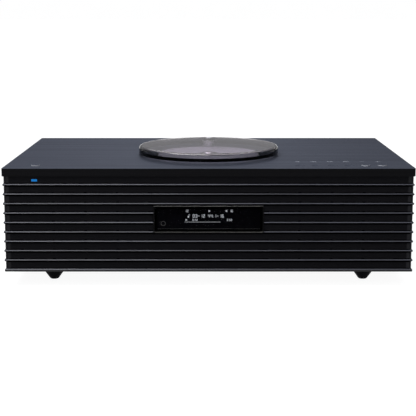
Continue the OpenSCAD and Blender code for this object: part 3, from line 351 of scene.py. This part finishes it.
def dress(name, main, *others):
    """Gives a node its finish, and others, as (finish, test), on the faces that pass a test."""
    node = nodes[name]
    mesh = node.data
    mesh.materials.clear()
    mesh.materials.append(finishes[main])
    for face in mesh.polygons:
        face.material_index = 0
    for index, (finish, test) in enumerate(others, 1):
        mesh.materials.append(finishes[finish])
        for face in mesh.polygons:
            if test(face):
                face.material_index = index
    return node


def soften(obj, width, segments=2, material=-1):
    """Small round of that width in millimetres on a piece's sharp edges."""
    weld = obj.modifiers.new("weld", "WELD")
    weld.merge_threshold = 1e-6
    bevel = obj.modifiers.new("soften", "BEVEL")
    bevel.width = width * MM
    bevel.segments = segments
    bevel.limit_method = "ANGLE"
    bevel.angle_limit = SHARP_ANGLE
    bevel.material = material


for part in frame["record"]["subparts"]:
    dress(part["node"], part["material_slot"])
dress("top_panel", "plate_edge", ("plate", level))
# Grilles: painted highlight on the faces that look up, painted shade on those that face the front
for name in ("front_grille", "left_grille", "right_grille"):
    dress(name, "fins", ("painted_fin_highlight", facing_up), ("painted_groove_shade", facing_front))
# The faces of the base that look up take the same painted highlight
dress("bottom_plate", "panel", ("painted_fin_highlight", facing_up))
# The frame's top faces take the painted highlight
soften(dress("display_frame", "bezel", ("bezel_painted_highlight", level)), 0.15)
# Sides and rounds of the keys take the painted highlight
for name in ("button_power", "button_volume_down", "button_volume_up"):
    soften(dress(name, "button", ("button_rim_painted_highlight", upright)), 0.4, 3, material=1)
dress("lid_post", "post")
dress("disc_hub", "hub", ("cap", facing_up))
soften(nodes["feet"], 0.8, 3)
soften(nodes["top_panel"], 0.45, material=0)
for name in ("lid_post", "disc_hub", "rear_screws", "foot_screws", "ac_inlet", "lan_jack", "usb_port"):
    soften(nodes[name], 0.25)

# Forms for the fine pieces


def piece(name, mesh, finish, body):
    """Object on a body, with its finish."""
    obj = bpy.data.objects.new(name, mesh)
    bpy.context.scene.collection.objects.link(obj)
    mesh.materials.append(finishes[finish])
    mesh.shade_smooth()
    mesh.set_sharp_from_angle(angle=SMOOTH_ANGLE)
    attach(obj, body)
    return obj


def mesh_of(form, name):
    """Mesh of a form, with its faces turned outwards."""
    bmesh.ops.recalc_face_normals(form, faces=form.faces)
    mesh = bpy.data.meshes.new(name)
    form.to_mesh(mesh)
    form.free()
    return mesh


def ring_of(form, centre, radius, height, segments):
    """Vertices of a level circle, or one vertex for no radius, with radius and height in millimetres."""
    ring = []
    for step in range(segments if radius else 1):
        turn = 2 * math.pi * step / segments
        x = centre.x + radius * MM * math.cos(turn)
        y = centre.y + radius * MM * math.sin(turn)
        ring.append(form.verts.new((x, y, height * MM)))
    return ring


def join(form, first, second):
    """Faces between two circles of vertices, either of which can be a single one."""
    for step in range(max(len(first), len(second))):
        after = step + 1
        corners = [first[step % len(first)], first[after % len(first)],
                   second[after % len(second)], second[step % len(second)]]
        corners = list(dict.fromkeys(corners))
        if len(corners) > 2:
            form.faces.new(corners)


def lathe(name, profile, centre, segments):
    """Mesh turned round an upright axis from a closed outline of (radius, height) in millimetres."""
    form = bmesh.new()
    rings = [ring_of(form, centre, radius, height, segments) for radius, height in profile]
    for first, second in zip(rings, rings[1:] + rings[:1]):
        join(form, first, second)
    return mesh_of(form, name)


def slab(outlines, place, thick):
    """Mesh of flat outlines in millimetres, put on a surface by place and raised by thick."""
    form = bmesh.new()
    for outline in outlines:
        low = [form.verts.new(place(u, v, 0)) for u, v in outline]
        high = [form.verts.new(place(u, v, thick)) for u, v in outline]
        form.faces.new(low)
        form.faces.new(high)
        for a in range(len(outline)):
            b = (a + 1) % len(outline)
            form.faces.new((low[a], low[b], high[b], high[a]))
    return mesh_of(form, "slab")


def upright_at(y):
    """Place for a slab on an upright surface that faces the front at that depth."""
    return lambda u, v, w: (u * MM, (y - w) * MM, v * MM)


def level_at(z):
    """Place for a slab on a level surface at that height."""
    return lambda u, v, w: (u * MM, v * MM, (z + w) * MM)


def arc(centre, radius, start, end, steps=8):
    """Points along an arc, with its angles in degrees."""
    points = []
    for step in range(steps + 1):
        turn = math.radians(start + (end - start) * step / steps)
        points.append((centre[0] + radius * math.cos(turn), centre[1] + radius * math.sin(turn)))
    return points


def rect(x0, y0, x1, y1):
    return [(x0, y0), (x1, y0), (x1, y1), (x0, y1)]


def shifted(outlines, x, y):
    return [[(x + u, y + v) for u, v in outline] for outline in outlines]


# Clear lid in one shell, with a dark band inside the foot of its wall as a painted shadow under its edge

LID_R = box_of("lid_ring").right - DISC.x / MM
LID_LOW = box_of("lid_ring").low
LID_TOP = box_of("lid_ring").top
LID_ROUND = 3.6
LID_WALL = 2.3
LID_ROOF = 1.6
LID_IN = LID_R - LID_WALL
LID_STEPS = 256
CEILING = LID_TOP - LID_ROOF
CEILING_ROUND = 1.8
BREAK = 0.2
PIN_R = 4.2
PIN_STEPS = 64
COLLAR_R = 7
COLLAR_LOW = box_of("lid_cover").low
BAND_GAP = 0.3
BAND_T = 0.5
BAND_H = 3.3
BAND_LIFT = 0.1


def lid_shell():
    """Lid with a round upper edge and the hole for the pin that it turns on."""
    wall = arc((LID_R - LID_ROUND, LID_TOP - LID_ROUND), LID_ROUND, 90, 0)
    wall += [(LID_R, LID_TOP - LID_ROUND - BREAK), (LID_R, LID_LOW + 2 * BREAK), (LID_R, LID_LOW + BREAK)]
    wall += [(LID_R - BREAK, LID_LOW), (LID_IN + BREAK, LID_LOW), (LID_IN, LID_LOW + BREAK)]
    wall += [(LID_IN, LID_LOW + 2 * BREAK), (LID_IN, CEILING - CEILING_ROUND - BREAK)]
    wall += arc((LID_IN - CEILING_ROUND, CEILING - CEILING_ROUND), CEILING_ROUND, 0, 90)
    hole = [(PIN_R, LID_TOP), (PIN_R, COLLAR_LOW), (COLLAR_R, COLLAR_LOW), (COLLAR_R, CEILING)]
    form = bmesh.new()
    rings = [ring_of(form, DISC, radius, height, LID_STEPS) for radius, height in wall]
    bores = [ring_of(form, PIN, radius, height, PIN_STEPS) for radius, height in hole]
    for circles in (rings, bores):
        for first, second in zip(circles, circles[1:]):
            join(form, first, second)
    for end in (0, -1):
        rims = []
        for loop in (rings[end], bores[end]):
            rims += [form.edges.get((loop[i - 1], loop[i])) for i in range(len(loop))]
        bmesh.ops.triangle_fill(form, edges=rims, use_beauty=True)
    return mesh_of(form, "lid_shell")


shell = piece("lid_shell", lid_shell(), "lid", "lid")
shell.data.materials.append(finishes["lid_side_shaded"])
# Upright faces of the lid take the shaded copy of its plastic: painted shade
for face in shell.data.polygons:
    face.material_index = int(upright(face))
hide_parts("lid_cover", "lid_ring")
# Painted shadow: a dark band in the rubber finish inside the foot of the wall, standing in for the shade under the
# lid's edge
band_r = LID_IN - BAND_GAP
band_low = LID_LOW + BAND_LIFT
band_profile = rect(band_r - BAND_T, band_low, band_r, band_low + BAND_H)
piece("lid_shadow_band", lathe("lid_shadow_band", band_profile, DISC, LID_STEPS), "rubber", "lid")

# Polished dome on the hub

CAP_R = 3.4
CAP_H = 0.45
CAP_SINK = 0.15
CAP_LOW = box_of("disc_hub").top - CAP_SINK
CAP_TOP = CAP_LOW + CAP_H
CAP_STEPS = 96
cap_bend = (CAP_R ** 2 + CAP_H ** 2) / (2 * CAP_H)
cap_turn = math.degrees(math.asin(CAP_R / cap_bend))
cap_profile = arc((0, CAP_TOP - cap_bend), cap_bend, 90 - cap_turn, 90)[:-1]
cap_profile += [(0, CAP_TOP), (0, CAP_LOW)]
piece("hub_cap", lathe("hub_cap", cap_profile, DISC, CAP_STEPS), "cap", "hub")

# Acoustic net between the fins of the front

FIN_COUNT = 9
FIN_PITCH = 10.5
FIN_H = 2
FIN_DROP = 9.4
FIN_PROUD = 1.4
# The net stops short of each fin by this gap, so that a strip of the painted shade shows above and below it
NET_GAP = 1
NET_T = 0.3
NET_ROUND = 0.1
END_EDGE = 4
END_W = 3.4
SLIVER = 0.15
wall = box_of("front_grille")
end_x = wall.right - END_EDGE
net_x = end_x - END_W
fin_lows = [wall.top - FIN_DROP - FIN_H / 2 - FIN_PITCH * i for i in range(FIN_COUNT)]
band_tops = [wall.top] + [low - NET_GAP for low in fin_lows]
band_lows = [low + FIN_H + NET_GAP for low in fin_lows] + [wall.low + NET_GAP]
bands = list(zip(band_lows, band_tops))


def hole_round(node, room_x, room_z):
    """Rectangle that keeps the net off a node."""
    box = box_of(node)
    return (box.left - room_x, box.low - room_z, box.right + room_x, box.top + room_z)


def cut(area, hole):
    """The up to four rectangles that a hole leaves of an area."""
    x0, z0, x1, z1 = area
    a0, b0, a1, b1 = max(x0, hole[0]), max(z0, hole[1]), min(x1, hole[2]), min(z1, hole[3])
    if a0 >= a1 or b0 >= b1:
        return [area]
    parts = [(x0, z0, a0, z1), (a1, z0, x1, z1), (a0, z0, a1, b0), (a0, b1, a1, z1)]
    return [p for p in parts if p[2] - p[0] > SLIVER and p[3] - p[1] > SLIVER]


display_hole = hole_round("display_frame", room_x=0.1, room_z=0.15)
led_hole = hole_round("power_led", room_x=0.05, room_z=0.05)
areas = [(-net_x, low, net_x, top) for low, top in bands]
for hole in (display_hole, led_hole):
    areas = [part for area in areas for part in cut(area, hole)]
ends = [rect(x, low, x + END_W, top) for low, top in bands for x in (-end_x, net_x)]
on_wall = upright_at(wall.front + FIN_PROUD)
net = piece("front_net", slab([rect(*area) for area in areas], on_wall, NET_T), "net", "case")
soften(net, NET_ROUND)
soften(piece("net_ends", slab(ends, on_wall, NET_T), "fins", "case"), NET_ROUND)

# Figures and signs on the display

FIGURE_T = 0.05
UPPER_DROP = 6.35
UPPER_H = 2.6
MIDDLE_DROP = 12.35
MIDDLE_H = 3.4
LOWER_DROP = 16.15
LOWER_H = 2.2
SENSOR_IN = 9.7
SENSOR_UP = 9.45
SENSOR_R = 2.6
SENSOR_LINE = 0.4
STROKES = {
    "0": "abcdef", "1": "bc", "2": "abdeg", "3": "abcdg", "4": "bcfg", "5": "acdfg",
    "6": "acdefg", "7": "abc", "8": "abcdefg", "9": "abcdfg", "-": "g", ":": "jk", ".": "d",
}


def figures(text, left, low, tall):
    """Bars of a line of figures whose first one starts at left, low."""
    wide, bar = 0.58 * tall, 0.12 * tall
    half = tall / 2
    bars = {
        "a": (0, tall - bar, wide, tall), "d": (0, 0, wide, bar),
        "g": (0, half - bar / 2, wide, half + bar / 2),
        "b": (wide - bar, half, wide, tall), "c": (wide - bar, 0, wide, half),
        "f": (0, half, bar, tall), "e": (0, 0, bar, half),
        "j": (0, 0.6 * tall, bar, 0.6 * tall + bar), "k": (0, 0.2 * tall, bar, 0.2 * tall + bar),
    }
    outlines = []
    for figure in text:
        small = figure in ":."
        for stroke in STROKES.get(figure, ""):
            x0, z0, x1, z1 = bars[stroke]
            outlines.append(rect(left + x0, low + z0, left + (bar if small else x1), low + z1))
        left += 0.35 * tall if small else 0.82 * tall
    return outlines


def play_sign(left, low, tall):
    return [[(left, low), (left + 0.85 * tall, low + tall / 2), (left, low + tall)]]


def ring_sign(x, z, outer, inner):
    """Ring in two halves."""
    halves = []
    for start in (0, 180):
        end = start + 180
        halves.append(arc((x, z), outer, start, end, 16) + arc((x, z), inner, end, start, 16))
    return halves


panel = box_of("display_panel")
window = box_of("display_window")
upper = panel.top - UPPER_DROP
middle = panel.top - MIDDLE_DROP
lower = panel.top - LOWER_DROP
speaker = [[(0, 0.7), (0.8, 0.7), (1.8, -0.1), (1.8, 2.7), (0.8, 1.9), (0, 1.9)]]
note = [arc((0, 0.6), 0.8, 0, 330, 11), rect(0.5, 0.6, 0.8, 3.3), rect(0.5, 2.8, 2, 3.3)]
progress = [rect(-26.4, -1.4, 13.2, -1.1)]
glyphs = figures("12", -25.8, upper, UPPER_H) + play_sign(0, upper, UPPER_H)
glyphs += shifted(speaker, 18.6, upper) + figures("16", 23, upper, UPPER_H)
glyphs += shifted(note, -22.2, middle) + figures("03-12 44.1-16", -17.2, middle, MIDDLE_H)
glyphs += play_sign(-25.2, lower - 0.1, LOWER_H + 0.2)
glyphs += figures("0:42", -17.6, lower, LOWER_H) + figures("3:58", 20, lower, LOWER_H)
glyphs += shifted(progress, 0, lower)
piece("display_figures", slab(glyphs, upright_at(panel.front), FIGURE_T), "glyph", "case")
sensor = ring_sign(window.left + SENSOR_IN, window.low + SENSOR_UP, SENSOR_R, SENSOR_R - SENSOR_LINE)
piece("display_sensor", slab(sensor, upright_at(window.front), FIGURE_T), "ring", "case")

# Signs printed behind the keys

SIGN_BACK = 31
SIGN_T = 0.04
arrow = [[(-2.8, -0.5), (0.4, -0.5), (0.4, -2.2), (3, 0), (0.4, 2.2), (0.4, 0.5), (-2.8, 0.5)]]
skip = [[(-2.6, -2.4), (0, 0), (-2.6, 2.4)], [(0, -2.4), (2.4, 0), (0, 2.4)], rect(2.5, -2.4, 3.1, 2.4)]
back = [[(-u, v) for u, v in reversed(outline)] for outline in skip]
play = [[(-3, -2.4), (0.2, 0), (-3, 2.4)], rect(0.9, -2.4, 1.7, 2.4), rect(2.3, -2.4, 3.1, 2.4)]
less = [rect(-2.4, -0.4, 2.4, 0.4)]
more = [[(-2.4, -0.4), (-0.4, -0.4), (-0.4, -2.4), (0.4, -2.4), (0.4, -0.4), (2.4, -0.4),
         (2.4, 0.4), (0.4, 0.4), (0.4, 2.4), (-0.4, 2.4), (-0.4, 0.4), (-2.4, 0.4)]]
sign_of = {
    "input": arrow, "previous": back, "play": play, "next": skip, "volume_down": less, "volume_up": more,
}
signs = []
for key, sign in sign_of.items():
    box = box_of("button_" + key)
    signs += shifted(sign, (box.left + box.right) / 2, (box.front + box.rear) / 2 + SIGN_BACK)
piece("key_signs", slab(signs, level_at(box_of("top_panel").top), SIGN_T), "print", "case")

# Studio

CAMERA_DOWN = 8.8364
SKY_FRONT = (0.12, 0.12, 0.125, 1)
SKY_REAR = (0.27, 0.27, 0.28, 1)
SKY_TOP = (0.45, 0.45, 0.47, 1)
FLOOR_GLOW = 0.93
FLOOR_STEPS = 96

bpy.context.scene.view_settings.view_transform = "Standard"

camera_data = bpy.data.cameras.new("camera")
camera_data.sensor_width = 36
camera_data.lens = 89.218
camera_data.shift_y = -0.0813
camera = bpy.data.objects.new("camera", camera_data)
camera.location = (-0.0006, -1.2444, 0.2977)
camera.rotation_euler = (math.radians(90 - CAMERA_DOWN), 0, 0)
bpy.context.scene.collection.objects.link(camera)
bpy.context.scene.camera = camera


def lamp(name, place, aim, size, power):
    data = bpy.data.lights.new(name, "AREA")
    data.shape = "RECTANGLE"
    data.size, data.size_y = size
    data.energy = power
    obj = bpy.data.objects.new(name, data)
    obj.location = place
    obj.rotation_euler = (Vector(aim) - Vector(place)).to_track_quat("-Z", "Y").to_euler()
    bpy.context.scene.collection.objects.link(obj)


lamp("key", (-0.5, -0.38, 1.15), (-0.1, 0, 0.1), (0.9, 0.7), 10.5)
lamp("overhead", (-0.1, -0.1, 1.4), (-0.1, -0.1, 0), (2.4, 0.7), 6.5)
lamp("front_fill", (-0.2, -2.2, 1.3), (0, 0, 0.1), (2.0, 1.2), 10)
lamp("rear_strip", (-0.05, 1.7, 0.95), (0, 0, 0.13), (0.7, 0.3), 1.5)

world = bpy.data.worlds.new("studio")
world.use_nodes = True
bpy.context.scene.world = world
tree = world.node_tree
direction = tree.nodes.new("ShaderNodeTexCoord")
split = tree.nodes.new("ShaderNodeSeparateXYZ")
behind = tree.nodes.new("ShaderNodeMapRange")
behind.inputs["From Min"].default_value = 0.3
blend = tree.nodes.new("ShaderNodeMix")
blend.data_type = "RGBA"
tree.links.new(direction.outputs["Generated"], split.inputs[0])
tree.links.new(split.outputs["Y"], behind.inputs["Value"])
tree.links.new(behind.outputs["Result"], blend.inputs["Factor"])
for side, low in (("A", SKY_FRONT), ("B", SKY_REAR)):
    sky = tree.nodes.new("ShaderNodeValToRGB")
    sky.color_ramp.elements[0].color = low
    sky.color_ramp.elements[1].color = SKY_TOP
    tree.links.new(split.outputs["Z"], sky.inputs["Fac"])
    tree.links.new(sky.outputs["Color"], blend.inputs[side])
tree.links.new(blend.outputs["Result"], tree.nodes["Background"].inputs["Color"])

floor_profile = [(0, 0), (7000, 0), (7600, 60), (8000, 250), (8200, 600), (8200, -5), (0, -5)]
floor_mesh = lathe("floor", floor_profile, Vector((0, 0, 0)), FLOOR_STEPS)
floor = bpy.data.objects.new("floor", floor_mesh)
bpy.context.scene.collection.objects.link(floor)
floor_finish = Finish("floor", Roughness=0.9, Specular_IOR_Level=0.0, Emission_Color=WHITE)
speckle = floor_finish.noise([8] * 3, 2)
rays = floor_finish.add("LightPath").outputs
seen = floor_finish.math("MAXIMUM", rays["Is Camera Ray"], rays["Is Glossy Ray"])
seen = floor_finish.math("MAXIMUM", seen, rays["Is Transmission Ray"])
floor_finish.set(
    Base_Color=floor_finish.ramp(speckle, (0.3, grey(0.25)), (0.7, grey(0.27))),
    Emission_Strength=floor_finish.math("MULTIPLY", seen, FLOOR_GLOW),
)
floor_mesh.materials.append(floor_finish.material)
